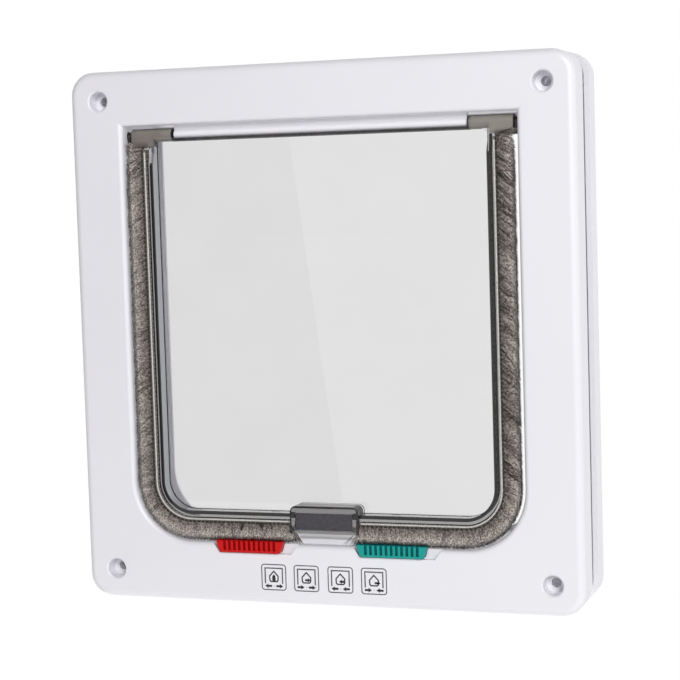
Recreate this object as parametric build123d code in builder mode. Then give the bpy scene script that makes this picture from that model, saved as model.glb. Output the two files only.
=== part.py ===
from build123d import *
import os

# Cat flap for a door, millimetres, +Z up, the room side faces -Y.
# Depths are counted from the room-side face towards the garden.

# Frame sizes
frame_width = 240.0
frame_height = 248.0
frame_corner_radius = 11.0
face_edge_radius = 3.5
rear_edge_bevel = 2.5
face_wall = 2.6
skirt_wall = 2.4
room_depth = 16.5
door_gap = 14.2
garden_depth = 14.0

# Opening and tunnel
side_border = 26.0
top_border = 25.7
bottom_border = 28.0
opening_corner_radius = 28.0
lip_radius = 2.2
garden_lip = 1.6
garden_lip_bevel = 1.2
tunnel_wall = 2.2
room_sleeve_reach = 18.0
garden_sleeve_reach = 9.0
sleeve_wall = 2.0
sleeve_clearance = 0.4

# Screw holes through both frames
hole_inset_x = 14.4
hole_inset_z = 13.75
screw_hole_radius = 2.25
pilot_hole_radius = 1.95
counterbore_radius = 4.5
counterbore_depth = 8.0
counterbore_bevel = 0.7
boss_radius = 7.4
post_radius = 4.8

# Stiffening ribs behind both faces
rib_thickness = 1.6
rib_height = 9.0
side_rib_pitch = 44.0
side_rib_count = 4
top_rib_pitch = 42.0
top_rib_count = 5
low_rib_inset = 16.0

# Hinge
hinge_depth = 8.0
hinge_drop = 4.4
knuckle_radius = 3.1
knuckle_length = 21.3
knuckle_side_gap = 2.0
knuckle_block_length = 11.8
knuckle_drop = 3.0
knuckle_bevel = 0.7
knuckle_web_radius = 3.0
stub_side_gap = 0.5
stub_radius = 2.4
stub_drop = 0.6
pin_radius = 1.85
pin_reach = 3.4
pin_clearance = 0.3
pivot_boss_radius = 3.2
pivot_boss_length = 4.6
rod_radius = 2.0
rod_web = 2.4
rod_end_gap = 0.5
cradle_clearance = 0.3
cradle_wall = 0.9
cradle_rise = 0.3

# Pile strips
backing_height = 1.5
pile_height = 7.5
pile_side_gap = 2.0
pile_floor_gap = 1.9
pile_inset = 0.4
strip_front = 2.2
strip_back = 6.2
strip_top_gap = 0.4
strip_end_gap = 0.3
notch_clearance = 0.5

# Flap
rim_width = 3.3
rim_front = 2.0
rim_back = 10.5
rim_bevel = 0.5
rim_slope_start = 13.9
rim_slope_end = 8.4
panel_front = 7.4
panel_thickness = 2.0
pocket_width = 33.0
pocket_drop = 5.4
pocket_rise = 7.4
pocket_proud = 0.8
pocket_corner_radius = 3.0
pocket_bevel = 0.5

# Magnets
magnet_width = 27.5
magnet_height = 7.7
magnet_thickness = 4.5
magnet_inset = 1.8
magnet_sink = 0.6
magnet_clearance = 0.15
sill_magnet_width = 22.0
sill_magnet_length = 9.0
sill_magnet_thickness = 1.8
sill_magnet_depth = 10.6
cover_wall = 1.0
cover_peg_radius = 1.2
cover_peg_clearance = 0.1
cover_bevel = 0.6

# Locks: thumbs, carriages and teeth
lock_offset = 34.4
lock_travel = 4.2
lock_end_clearance = 0.5
recess_depth = 2.2
recess_drop = 4.6
recess_slope = 5.2
thumb_proud = 2.0
thumb_gap = 0.3
thumb_width = 30.1
thumb_slope = 1.7
thumb_floor_gap = 0.5
thumb_rise = 1.5
thumb_corner_radius = 1.6
thumb_bevel = 0.4
grip_count = 11
grip_pitch = 2.45
grip_width = 1.3
grip_depth = 1.3
grip_flange = 1.1
neck_width = 16.0
neck_height = 1.5
neck_clearance = 0.25
neck_grip = 1.2
neck_fit = 0.1
carriage_width = 24.0
carriage_height = 10.8
carriage_thickness = 4.0
carriage_clearance = 0.3
floor_clearance = 0.4
finger_height = 3.0
tooth_width = 2.6
tooth_thickness = 1.4
tooth_shift = 5.0
tooth_overlap = 2.4
tooth_pile_gap = 0.4
tooth_slot_clearance = 0.5
lug_width = 3.6
lug_drop = 6.3
lug_gap = 0.9

# Pad, rail and retainer plate of the locks
pad_height = 5.8
pad_thickness = 2.0
rail_thickness = 1.6
plate_thickness = 1.6
plate_end = 5.5
plate_overhang = 3.1
plate_finger_gap = 1.0
plate_corner_radius = 2.0
plate_boss_radius = 3.0
plate_boss_gap = 4.45
plate_screw_count = 2
plate_screw_rise = 2.4
plate_screw_radius = 1.1
plate_screw_length = 6.0
plate_screw_clearance = 0.2
plate_pilot_clearance = 0.05
plate_head_radius = 2.1
plate_head_height = 1.4
plate_recess_width = 0.6
plate_recess_length = 2.9
plate_recess_depth = 0.8

# Places of the frames and the opening
total_depth = room_depth + door_gap + garden_depth
front_y = thumb_proud - (total_depth + thumb_proud) / 2
front_plane = Plane(origin=(0, front_y, 0), x_dir=(1, 0, 0), z_dir=(0, -1, 0))
rear_plane = front_plane.offset(-total_depth)
frame_mid = frame_height / 2
opening_width = frame_width - 2 * side_border
opening_bottom = bottom_border
opening_top = frame_height - top_border
opening_mid = (opening_bottom + opening_top) / 2
hole_spacing_x = frame_width - 2 * hole_inset_x
hole_spacing_z = frame_height - 2 * hole_inset_z
side_width = side_border - tunnel_wall
top_height = top_border - tunnel_wall
low_height = bottom_border - tunnel_wall

# Places of the hinge and the flap
hinge_y = front_y + hinge_depth
hinge_height = opening_top - hinge_drop
knuckle_outer_x = opening_width / 2 - knuckle_side_gap
knuckle_block_x = knuckle_outer_x - knuckle_block_length
knuckle_inner_x = knuckle_outer_x - knuckle_length
stub_end_x = opening_width / 2 - stub_side_gap
strip_height = backing_height + pile_height
flap_width = opening_width - 2 * (pile_side_gap + strip_height)
flap_bottom = opening_bottom + pile_floor_gap + strip_height
cradle_inner_radius = rod_radius + cradle_clearance
cradle_outer_radius = cradle_inner_radius + cradle_wall
flap_top = hinge_height - cradle_inner_radius - cradle_wall / 2
flap_corner_radius = opening_corner_radius - pile_side_gap - strip_height
strip_top = hinge_height - knuckle_drop - knuckle_radius - strip_top_gap
strip_end_x = pocket_width / 2 + strip_end_gap
pocket_bottom = flap_bottom - pocket_drop
pocket_top = flap_bottom + pocket_rise
magnet_mid = pocket_bottom + magnet_inset + magnet_height / 2

# Places of the locks
floor_under = opening_bottom - tunnel_wall
recess_bottom = opening_bottom - recess_drop
recess_width = thumb_width + lock_travel + 2 * lock_end_clearance
recess_height = recess_drop + lip_radius
thumb_bottom = recess_bottom + thumb_floor_gap
thumb_height = opening_bottom + thumb_rise - thumb_bottom
thumb_back = recess_depth - thumb_gap
neck_mid = thumb_bottom + neck_clearance / 2 + neck_height / 2
carriage_front = recess_depth + pad_thickness + carriage_clearance
carriage_top = floor_under - floor_clearance
carriage_bottom = carriage_top - carriage_height
red_x = -lock_offset - lock_travel / 2
green_x = lock_offset - lock_travel / 2
red_tooth_x = red_x + tooth_shift
green_tooth_x = green_x - tooth_shift
red_tooth_depth = strip_back + tooth_pile_gap
green_tooth_depth = rim_back + lug_gap
lug_front = red_tooth_depth + tooth_thickness + lug_gap
lug_bottom = flap_bottom - lug_drop
tooth_top = lug_bottom + tooth_overlap
plate_front = carriage_front + carriage_thickness + carriage_clearance
plate_top = carriage_top - finger_height - plate_finger_gap
plate_bottom = carriage_bottom - plate_overhang
plate_screw_height = carriage_bottom + plate_screw_rise
plate_screw_x = lock_offset + (carriage_width + lock_travel) / 2 + plate_boss_gap + plate_boss_radius
plate_screw_pitch = 2 * plate_screw_x
plate_width = plate_screw_pitch + 2 * plate_end

os.makedirs("parts", exist_ok=True)

# Outline of the opening: square at the top, well rounded below
with BuildSketch() as opening_outline:
    with Locations((0, opening_mid)):
        Rectangle(opening_width, opening_top - opening_bottom)
    fillet(opening_outline.vertices().sort_by(Axis.Y)[:2], opening_corner_radius)

# Opening of the garden-side frame, a little smaller all round
with BuildSketch() as garden_outline:
    add(opening_outline.sketch)
    offset(amount=-garden_lip)

# Outside of the room-side tunnel
with BuildSketch() as tunnel_outline:
    add(opening_outline.sketch)
    offset(amount=tunnel_wall)

# Inside and outside of the garden-side sleeve
with BuildSketch() as sleeve_inner_outline:
    add(opening_outline.sketch)
    offset(amount=tunnel_wall + sleeve_clearance)
with BuildSketch() as sleeve_outer_outline:
    add(opening_outline.sketch)
    offset(amount=tunnel_wall + sleeve_clearance + sleeve_wall)

# Outside of the flap moulding and inside of its rim, which is open at the top
with BuildSketch() as flap_outline:
    with Locations((0, (flap_bottom + flap_top) / 2)):
        Rectangle(flap_width, flap_top - flap_bottom)
    fillet(flap_outline.vertices().sort_by(Axis.Y)[:2], flap_corner_radius)
with BuildSketch() as rim_window:
    with Locations((0, (flap_bottom + flap_top) / 2 + rim_width)):
        Rectangle(flap_width - 2 * rim_width, flap_top - flap_bottom)
    fillet(rim_window.vertices().sort_by(Axis.Y)[:2], flap_corner_radius - rim_width)

# Outside of the woven backing and tips of the pile
with BuildSketch() as backing_outline:
    add(flap_outline.sketch)
    offset(amount=backing_height)
with BuildSketch() as pile_outline:
    add(flap_outline.sketch)
    offset(amount=strip_height)

# Room-side frame
with BuildPart() as interior_frame:
    with BuildSketch(front_plane):
        with Locations((0, frame_mid)):
            RectangleRounded(frame_width, frame_height, frame_corner_radius)
    extrude(amount=-room_depth)
    fillet(interior_frame.faces().sort_by(Axis.Y)[0].edges(), face_edge_radius)
    # Opening with its rounded lip
    with BuildSketch(front_plane):
        add(opening_outline.sketch)
    extrude(amount=-room_depth, mode=Mode.SUBTRACT)
    fillet(interior_frame.faces().sort_by(Axis.Y)[0].inner_wires()[0].edges(), lip_radius)
    # Hollow behind the face
    with BuildSketch(front_plane.offset(-face_wall)):
        with Locations((0, frame_mid)):
            RectangleRounded(
                frame_width - 2 * skirt_wall,
                frame_height - 2 * skirt_wall,
                frame_corner_radius - skirt_wall,
            )
        add(tunnel_outline.sketch, mode=Mode.SUBTRACT)
    extrude(amount=-(room_depth - face_wall), mode=Mode.SUBTRACT)
    # Tunnel sleeve behind the flange
    with BuildSketch(front_plane.offset(-room_depth)):
        add(tunnel_outline.sketch)
        add(opening_outline.sketch, mode=Mode.SUBTRACT)
    extrude(amount=-room_sleeve_reach)
    # Ribs at the sides, over the opening and beside the locks
    with BuildSketch(front_plane.offset(-face_wall)):
        with Locations((0, opening_mid)):
            with GridLocations(frame_width - side_border, side_rib_pitch, 2, side_rib_count):
                Rectangle(side_width, rib_thickness)
        with Locations((0, frame_height - top_border / 2)):
            with GridLocations(top_rib_pitch, 0, top_rib_count, 1):
                Rectangle(rib_thickness, top_height)
        with Locations((0, bottom_border / 2)):
            with GridLocations(opening_width - 2 * low_rib_inset, 0, 2, 1):
                Rectangle(rib_thickness, low_height)
    extrude(amount=-rib_height)
    # Screw bosses
    with BuildSketch(front_plane.offset(-face_wall)):
        with Locations((0, frame_mid)):
            with GridLocations(hole_spacing_x, hole_spacing_z, 2, 2):
                Circle(boss_radius)
    extrude(amount=-(room_depth - face_wall))
    # Pad and rail that guide the lock carriages, and the bosses of their plate
    with BuildSketch(front_plane.offset(-face_wall)):
        with Locations((0, floor_under - pad_height / 2)):
            Rectangle(plate_width, pad_height)
    extrude(amount=-(recess_depth + pad_thickness - face_wall))
    with BuildSketch(front_plane.offset(-face_wall)):
        with Locations((0, carriage_bottom - carriage_clearance - rail_thickness / 2)):
            Rectangle(plate_width, rail_thickness)
        with Locations((0, plate_screw_height)):
            with GridLocations(plate_screw_pitch, 0, plate_screw_count, 1):
                Circle(plate_boss_radius)
    extrude(amount=-(plate_front - face_wall))
    with BuildSketch(front_plane.offset(-plate_front)):
        with Locations((0, plate_screw_height)):
            with GridLocations(plate_screw_pitch, 0, plate_screw_count, 1):
                Circle(plate_screw_radius + plate_pilot_clearance)
    extrude(amount=plate_screw_length - plate_thickness, mode=Mode.SUBTRACT)
    # Recesses for the lock thumbs, open to the opening above
    with BuildSketch(front_plane):
        with Locations((-lock_offset, recess_bottom), (lock_offset, recess_bottom)):
            Polygon(
                (-recess_width / 2, 0),
                (recess_width / 2, 0),
                (recess_width / 2 + recess_slope, recess_height),
                (-recess_width / 2 - recess_slope, recess_height),
                align=None,
            )
    extrude(amount=-recess_depth, mode=Mode.SUBTRACT)
    # Slots for the carriages' necks
    with BuildSketch(front_plane):
        with Locations((0, neck_mid)):
            with GridLocations(2 * lock_offset, 0, 2, 1):
                Rectangle(
                    neck_width + lock_travel + 2 * lock_end_clearance,
                    neck_height + 2 * neck_clearance,
                )
    extrude(amount=-(recess_depth + pad_thickness), mode=Mode.SUBTRACT)
    # Slots in the tunnel floor for the lock teeth, and holes for the pegs of the magnet's cap
    with BuildSketch(Plane.XY.offset(opening_bottom)):
        with Locations(
            (red_tooth_x + lock_travel / 2, front_y + red_tooth_depth + tooth_thickness / 2),
            (green_tooth_x + lock_travel / 2, front_y + green_tooth_depth + tooth_thickness / 2),
        ):
            Rectangle(
                tooth_width + lock_travel + 2 * tooth_slot_clearance,
                tooth_thickness + 2 * tooth_slot_clearance,
            )
        with Locations((0, front_y + sill_magnet_depth)):
            with GridLocations(sill_magnet_width + 2 * cover_peg_radius + 2 * cover_wall, 0, 2, 1):
                Circle(cover_peg_radius + cover_peg_clearance)
    extrude(amount=-tunnel_wall, mode=Mode.SUBTRACT)
    # Pivot bosses and holes in the tunnel sides
    for side in (-1, 1):
        with BuildSketch(Plane.YZ.offset(side * (opening_width + tunnel_wall) / 2)):
            with Locations((hinge_y, hinge_height)):
                Circle(pivot_boss_radius)
        extrude(amount=side * (pivot_boss_length - tunnel_wall / 2))
    with BuildSketch(Plane.YZ):
        with Locations((hinge_y, hinge_height)):
            Circle(pin_radius + pin_clearance)
    extrude(amount=opening_width / 2 + pivot_boss_length, both=True, mode=Mode.SUBTRACT)
    # Hinge rod hung from the tunnel ceiling
    with BuildSketch(Plane.YZ):
        with Locations((hinge_y, hinge_height)):
            Circle(rod_radius)
        with Locations((hinge_y, (hinge_height + opening_top + tunnel_wall) / 2)):
            Rectangle(rod_web, opening_top + tunnel_wall - hinge_height)
    extrude(amount=knuckle_inner_x - rod_end_gap, both=True)
    # Counterbored screw holes
    with BuildSketch(front_plane):
        with Locations((0, frame_mid)):
            with GridLocations(hole_spacing_x, hole_spacing_z, 2, 2):
                Circle(counterbore_radius)
    extrude(amount=-counterbore_depth, mode=Mode.SUBTRACT)
    face_wires = interior_frame.faces().sort_by(Axis.Y)[0].inner_wires()
    hole_rims = face_wires.filter_by(lambda wire: len(wire.edges()) == 1)
    chamfer(hole_rims.edges(), counterbore_bevel)
    with BuildSketch(front_plane):
        with Locations((0, frame_mid)):
            with GridLocations(hole_spacing_x, hole_spacing_z, 2, 2):
                Circle(screw_hole_radius)
    extrude(amount=-room_depth, mode=Mode.SUBTRACT)
interior_frame.part.label = "interior_frame"
export_step(interior_frame.part, "parts/interior_frame.step")

# Garden-side frame
with BuildPart() as exterior_frame:
    with BuildSketch(rear_plane):
        with Locations((0, frame_mid)):
            RectangleRounded(frame_width, frame_height, frame_corner_radius)
    extrude(amount=garden_depth)
    chamfer(exterior_frame.faces().sort_by(Axis.Y)[-1].edges(), rear_edge_bevel)
    with BuildSketch(rear_plane):
        add(garden_outline.sketch)
    extrude(amount=garden_depth, mode=Mode.SUBTRACT)
    chamfer(exterior_frame.faces().sort_by(Axis.Y)[-1].inner_wires()[0].edges(), garden_lip_bevel)
    # Hollow in front of the face
    with BuildSketch(rear_plane.offset(face_wall)):
        with Locations((0, frame_mid)):
            RectangleRounded(
                frame_width - 2 * skirt_wall,
                frame_height - 2 * skirt_wall,
                frame_corner_radius - skirt_wall,
            )
    extrude(amount=garden_depth - face_wall, mode=Mode.SUBTRACT)
    # Sleeve that slides over the room-side tunnel
    with BuildSketch(rear_plane.offset(face_wall)):
        add(sleeve_outer_outline.sketch)
        add(sleeve_inner_outline.sketch, mode=Mode.SUBTRACT)
    extrude(amount=garden_depth - face_wall + garden_sleeve_reach)
    # Ribs between the sleeve and the skirt
    with BuildSketch(rear_plane.offset(face_wall)):
        with Locations((0, opening_mid)):
            with GridLocations(frame_width - side_border + sleeve_wall, side_rib_pitch, 2, side_rib_count):
                Rectangle(side_width - 2 * sleeve_wall, rib_thickness)
        with Locations((0, frame_height - top_border / 2 + sleeve_wall)):
            with GridLocations(top_rib_pitch, 0, top_rib_count, 1):
                Rectangle(rib_thickness, top_height - 2 * sleeve_wall)
        with Locations((0, bottom_border / 2 - sleeve_wall)):
            with GridLocations(top_rib_pitch, 0, top_rib_count, 1):
                Rectangle(rib_thickness, low_height - 2 * sleeve_wall)
    extrude(amount=rib_height)
    # Screw posts with their pilot holes
    with BuildSketch(rear_plane.offset(face_wall)):
        with Locations((0, frame_mid)):
            with GridLocations(hole_spacing_x, hole_spacing_z, 2, 2):
                Circle(post_radius)
                Circle(pilot_hole_radius, mode=Mode.SUBTRACT)
    extrude(amount=garden_depth - face_wall)
exterior_frame.part.label = "exterior_frame"
export_step(exterior_frame.part, "parts/exterior_frame.step")

# Flap moulding
with BuildPart() as flap:
    # Rim along the sides and the bottom
    with BuildSketch(front_plane.offset(-rim_front)):
        add(flap_outline.sketch)
        add(rim_window.sketch, mode=Mode.SUBTRACT)
    extrude(amount=-(rim_back - rim_front))
    chamfer(flap.faces().sort_by(Axis.Y)[0].edges(), rim_bevel)
    # Slope at the rim's upper ends, so that they pass under the lip when the flap swings in
    with BuildSketch(Plane.YZ):
        Polygon(
            (front_y + rim_front, hinge_height - rim_slope_start),
            (hinge_y - knuckle_radius, hinge_height - rim_slope_end),
            (hinge_y - knuckle_radius, hinge_height),
            (front_y, hinge_height),
            (front_y, hinge_height - rim_slope_start),
            align=None,
        )
    extrude(amount=flap_width, both=True, mode=Mode.SUBTRACT)
    # Panel
    with BuildSketch(front_plane.offset(-panel_front)):
        add(flap_outline.sketch)
    extrude(amount=-panel_thickness)
    # Magnet pocket
    with BuildSketch(front_plane.offset(pocket_proud)) as pocket:
        with Locations((0, (pocket_bottom + pocket_top) / 2)):
            Rectangle(pocket_width, pocket_top - pocket_bottom)
        fillet(pocket.vertices().sort_by(Axis.Y)[-2:], pocket_corner_radius)
    extrude(amount=-(rim_back + pocket_proud))
    chamfer(flap.faces().sort_by(Axis.Y)[0].edges(), pocket_bevel)
    with BuildSketch(front_plane.offset(pocket_proud)):
        with Locations((0, magnet_mid)):
            Rectangle(magnet_width + 2 * magnet_clearance, magnet_height + 2 * magnet_clearance)
    extrude(amount=-(magnet_thickness + magnet_sink), mode=Mode.SUBTRACT)
    # Knuckle arms, and the blocks that carry them down to the rim
    for side in (-1, 1):
        with BuildSketch(Plane.YZ.offset(side * knuckle_inner_x)):
            with Locations((hinge_y, hinge_height)):
                Circle(knuckle_radius)
        extrude(amount=side * knuckle_length)
        with BuildSketch(Plane.YZ.offset(side * knuckle_block_x)):
            with Locations((hinge_y, hinge_height - knuckle_drop / 2)):
                SlotCenterToCenter(knuckle_drop, 2 * knuckle_radius, rotation=90)
        extrude(amount=side * knuckle_block_length)
    chamfer(flap.faces().sort_by(Axis.X)[0].edges(), knuckle_bevel)
    chamfer(flap.faces().sort_by(Axis.X)[-1].edges(), knuckle_bevel)
    # Shoulders outside the blocks, with the pivot pins
    for side in (-1, 1):
        with BuildSketch(Plane.YZ.offset(side * knuckle_outer_x)):
            with Locations((hinge_y, hinge_height - stub_drop - knuckle_drop / 2)):
                SlotCenterToCenter(knuckle_drop, 2 * stub_radius, rotation=90)
        extrude(amount=side * (stub_end_x - knuckle_outer_x))
        with BuildSketch(Plane.YZ.offset(side * knuckle_outer_x)):
            with Locations((hinge_y, hinge_height)):
                Circle(pin_radius)
        extrude(amount=side * (stub_end_x - knuckle_outer_x + pin_reach))
    # Curved webs between the arms and the rim
    web_x = flap_width / 2 - rim_width
    web_z = hinge_height - knuckle_radius
    with BuildSketch(front_plane.offset(-(hinge_depth - knuckle_radius / 2))):
        with Locations((web_x, web_z), (-web_x, web_z)):
            Rectangle(2 * knuckle_web_radius, 2 * knuckle_web_radius)
        with Locations(
            (web_x - knuckle_web_radius, web_z - knuckle_web_radius),
            (-web_x + knuckle_web_radius, web_z - knuckle_web_radius),
        ):
            Circle(knuckle_web_radius, mode=Mode.SUBTRACT)
    extrude(amount=-knuckle_radius)
    # Lugs under the rim that the lock teeth stop
    with BuildSketch(front_plane.offset(-lug_front)):
        with Locations((red_tooth_x + lock_travel, lug_bottom), (green_tooth_x + lock_travel, lug_bottom)):
            Rectangle(lug_width, lug_drop + rim_width, align=(Align.CENTER, Align.MIN))
    extrude(amount=-(rim_back - lug_front))
    # Cradle along the top edge that turns under the hinge rod
    with BuildSketch(Plane.YZ):
        with Locations((hinge_y, hinge_height)):
            Circle(cradle_outer_radius)
            Circle(cradle_inner_radius, mode=Mode.SUBTRACT)
        with Locations((hinge_y, hinge_height - rod_radius + cradle_rise)):
            Rectangle(
                2 * cradle_outer_radius,
                2 * cradle_outer_radius,
                align=(Align.CENTER, Align.MAX),
                mode=Mode.INTERSECT,
            )
    extrude(amount=knuckle_inner_x, both=True)
flap.part.label = "flap"
export_step(flap.part, "parts/flap.step")


def pile_strip(side, tooth_x):
    """Strip along one side (-1 left, 1 right) with a gap in its pile for the lock tooth at tooth_x."""
    end_align = (Align.MAX if side < 0 else Align.MIN, Align.MAX)
    with BuildPart() as strip:
        # Woven backing on the rim
        with BuildSketch(front_plane.offset(-strip_front)):
            add(backing_outline.sketch)
            add(flap_outline.sketch, mode=Mode.SUBTRACT)
            with Locations((side * strip_end_x, strip_top)):
                Rectangle(frame_width, frame_height, align=end_align, mode=Mode.INTERSECT)
        extrude(amount=-(strip_back - strip_front))
        # Pile
        with BuildSketch(front_plane.offset(-(strip_front + pile_inset))):
            add(pile_outline.sketch)
            add(backing_outline.sketch, mode=Mode.SUBTRACT)
            with Locations((side * strip_end_x, strip_top)):
                Rectangle(frame_width, frame_height, align=end_align, mode=Mode.INTERSECT)
            with Locations((tooth_x, flap_bottom - backing_height)):
                Rectangle(
                    tooth_width + 2 * notch_clearance,
                    2 * pile_height,
                    align=(Align.CENTER, Align.MAX),
                    mode=Mode.SUBTRACT,
                )
        extrude(amount=-(strip_back - strip_front - 2 * pile_inset))
    return strip


# Pile strips on both sides of the magnet
pile_strip_left = pile_strip(-1, red_tooth_x)
pile_strip_left.part.label = "pile_strip_left"
export_step(pile_strip_left.part, "parts/pile_strip_left.step")
pile_strip_right = pile_strip(1, green_tooth_x)
pile_strip_right.part.label = "pile_strip_right"
export_step(pile_strip_right.part, "parts/pile_strip_right.step")

# Magnet in the flap pocket
with BuildPart() as flap_magnet:
    with BuildSketch(front_plane.offset(pocket_proud - magnet_sink)):
        with Locations((0, magnet_mid)):
            Rectangle(magnet_width, magnet_height)
    extrude(amount=-magnet_thickness)
flap_magnet.part.label = "flap_magnet"
export_step(flap_magnet.part, "parts/flap_magnet.step")

# Magnet on the tunnel floor
with BuildPart() as sill_magnet:
    with BuildSketch(Plane.XY.offset(opening_bottom)):
        with Locations((0, front_y + sill_magnet_depth)):
            Rectangle(sill_magnet_width, sill_magnet_length)
    extrude(amount=sill_magnet_thickness)
sill_magnet.part.label = "sill_magnet"
export_step(sill_magnet.part, "parts/sill_magnet.step")

# Cap over the sill magnet, with two pegs in the tunnel floor
peg_pitch = sill_magnet_width + 2 * cover_peg_radius + 2 * cover_wall
cover_width = peg_pitch + 2 * cover_peg_radius + cover_wall
cover_length = sill_magnet_length + 2 * cover_wall + 2 * magnet_clearance
with BuildPart() as sill_magnet_cover:
    with BuildSketch(Plane.XY.offset(opening_bottom)):
        with Locations((0, front_y + sill_magnet_depth)):
            Rectangle(cover_width, cover_length)
    extrude(amount=sill_magnet_thickness + cover_wall)
    chamfer(sill_magnet_cover.faces().sort_by(Axis.Z)[-1].edges(), cover_bevel)
    with BuildSketch(Plane.XY.offset(opening_bottom)):
        with Locations((0, front_y + sill_magnet_depth)):
            Rectangle(
                sill_magnet_width + 2 * magnet_clearance,
                sill_magnet_length + 2 * magnet_clearance,
            )
    extrude(amount=sill_magnet_thickness, mode=Mode.SUBTRACT)
    with BuildSketch(Plane.XY.offset(opening_bottom)):
        with Locations((0, front_y + sill_magnet_depth)):
            with GridLocations(peg_pitch, 0, 2, 1):
                Circle(cover_peg_radius)
    extrude(amount=-tunnel_wall)
sill_magnet_cover.part.label = "sill_magnet_cover"
export_step(sill_magnet_cover.part, "parts/sill_magnet_cover.step")


def lock_thumb(slider_x):
    """Ribbed thumb in the frame's recess, with a socket behind for the neck of its carriage."""
    with BuildPart() as thumb:
        with BuildSketch(front_plane.offset(thumb_proud)) as face:
            with Locations((slider_x, thumb_bottom)):
                Polygon(
                    (-thumb_width / 2, 0),
                    (thumb_width / 2, 0),
                    (thumb_width / 2 + thumb_slope, thumb_height),
                    (-thumb_width / 2 - thumb_slope, thumb_height),
                    align=None,
                )
            fillet(face.vertices().sort_by(Axis.Y)[:2], thumb_corner_radius)
        extrude(amount=-(thumb_proud + thumb_back))
        chamfer(thumb.faces().sort_by(Axis.Y)[0].edges(), thumb_bevel)
        with BuildSketch(front_plane.offset(thumb_proud)):
            with Locations((slider_x, thumb_bottom + grip_flange)):
                with GridLocations(grip_pitch, 0, grip_count, 1):
                    Rectangle(grip_width, thumb_height, align=(Align.CENTER, Align.MIN))
        extrude(amount=-grip_depth, mode=Mode.SUBTRACT)
        with BuildSketch(front_plane.offset(-thumb_back)):
            with Locations((slider_x, neck_mid)):
                Rectangle(neck_width + 2 * neck_fit, neck_height + 2 * neck_fit)
        extrude(amount=neck_grip, mode=Mode.SUBTRACT)
    return thumb


def lock_carriage(slider_x, tooth_x, tooth_depth):
    """Carriage behind the face: its neck holds the thumb, its tooth stands tooth_depth behind the face."""
    with BuildPart() as carriage:
        with BuildSketch(front_plane.offset(-carriage_front)):
            with Locations((slider_x, (carriage_bottom + carriage_top) / 2)):
                Rectangle(carriage_width, carriage_height)
        extrude(amount=-carriage_thickness)
        # Neck through the frame's slot
        with BuildSketch(front_plane.offset(-carriage_front)):
            with Locations((slider_x, neck_mid)):
                Rectangle(neck_width, neck_height)
        extrude(amount=carriage_front - thumb_back + neck_grip)
        # Finger that carries the tooth up through the tunnel floor
        with BuildSketch(front_plane.offset(-carriage_front)):
            with Locations((tooth_x, carriage_top - finger_height / 2)):
                Rectangle(tooth_width, finger_height)
        extrude(amount=-(tooth_depth + tooth_thickness - carriage_front))
        with BuildSketch(front_plane.offset(-tooth_depth)):
            with Locations((tooth_x, carriage_top - finger_height)):
                Rectangle(
                    tooth_width,
                    tooth_top - carriage_top + finger_height,
                    align=(Align.CENTER, Align.MIN),
                )
        extrude(amount=-tooth_thickness)
    return carriage


# Red lock, which stops the swing into the room
red_lock_thumb = lock_thumb(red_x)
red_lock_thumb.part.label = "red_lock_thumb"
export_step(red_lock_thumb.part, "parts/red_lock_thumb.step")
red_lock_carriage = lock_carriage(red_x, red_tooth_x, red_tooth_depth)
red_lock_carriage.part.label = "red_lock_carriage"
export_step(red_lock_carriage.part, "parts/red_lock_carriage.step")

# Green lock, which stops the swing to the garden
green_lock_thumb = lock_thumb(green_x)
green_lock_thumb.part.label = "green_lock_thumb"
export_step(green_lock_thumb.part, "parts/green_lock_thumb.step")
green_lock_carriage = lock_carriage(green_x, green_tooth_x, green_tooth_depth)
green_lock_carriage.part.label = "green_lock_carriage"
export_step(green_lock_carriage.part, "parts/green_lock_carriage.step")

# Plate that keeps the carriages in
with BuildPart() as lock_retainer_plate:
    with BuildSketch(front_plane.offset(-plate_front)):
        with Locations((0, (plate_bottom + plate_top) / 2)):
            RectangleRounded(plate_width, plate_top - plate_bottom, plate_corner_radius)
        with Locations((0, plate_screw_height)):
            with GridLocations(plate_screw_pitch, 0, plate_screw_count, 1):
                Circle(plate_screw_radius + plate_screw_clearance, mode=Mode.SUBTRACT)
    extrude(amount=-plate_thickness)
lock_retainer_plate.part.label = "lock_retainer_plate"
export_step(lock_retainer_plate.part, "parts/lock_retainer_plate.step")

# Screws of that plate
with BuildPart() as retainer_screws:
    with BuildSketch(front_plane.offset(-(plate_front + plate_thickness))):
        with Locations((0, plate_screw_height)):
            with GridLocations(plate_screw_pitch, 0, plate_screw_count, 1):
                Circle(plate_head_radius)
    extrude(amount=-plate_head_height)
    with BuildSketch(front_plane.offset(-(plate_front + plate_thickness))):
        with Locations((0, plate_screw_height)):
            with GridLocations(plate_screw_pitch, 0, plate_screw_count, 1):
                Circle(plate_screw_radius)
    extrude(amount=plate_screw_length)
    with BuildSketch(front_plane.offset(-(plate_front + plate_thickness + plate_head_height))):
        with Locations((0, plate_screw_height)):
            with GridLocations(plate_screw_pitch, 0, plate_screw_count, 1):
                Rectangle(plate_recess_length, plate_recess_width)
                Rectangle(plate_recess_width, plate_recess_length)
    extrude(amount=plate_recess_depth, mode=Mode.SUBTRACT)
retainer_screws.part.label = "retainer_screws"
export_step(retainer_screws.part, "parts/retainer_screws.step")
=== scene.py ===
"""Looks of the cat flap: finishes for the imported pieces, true pile on the flap's edge, printed signs,
soft studio light and a camera at the photograph's viewing angle. All lengths are metres."""

import math

import bmesh
import bpy
import numpy as np
from mathutils import Matrix, Vector


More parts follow.
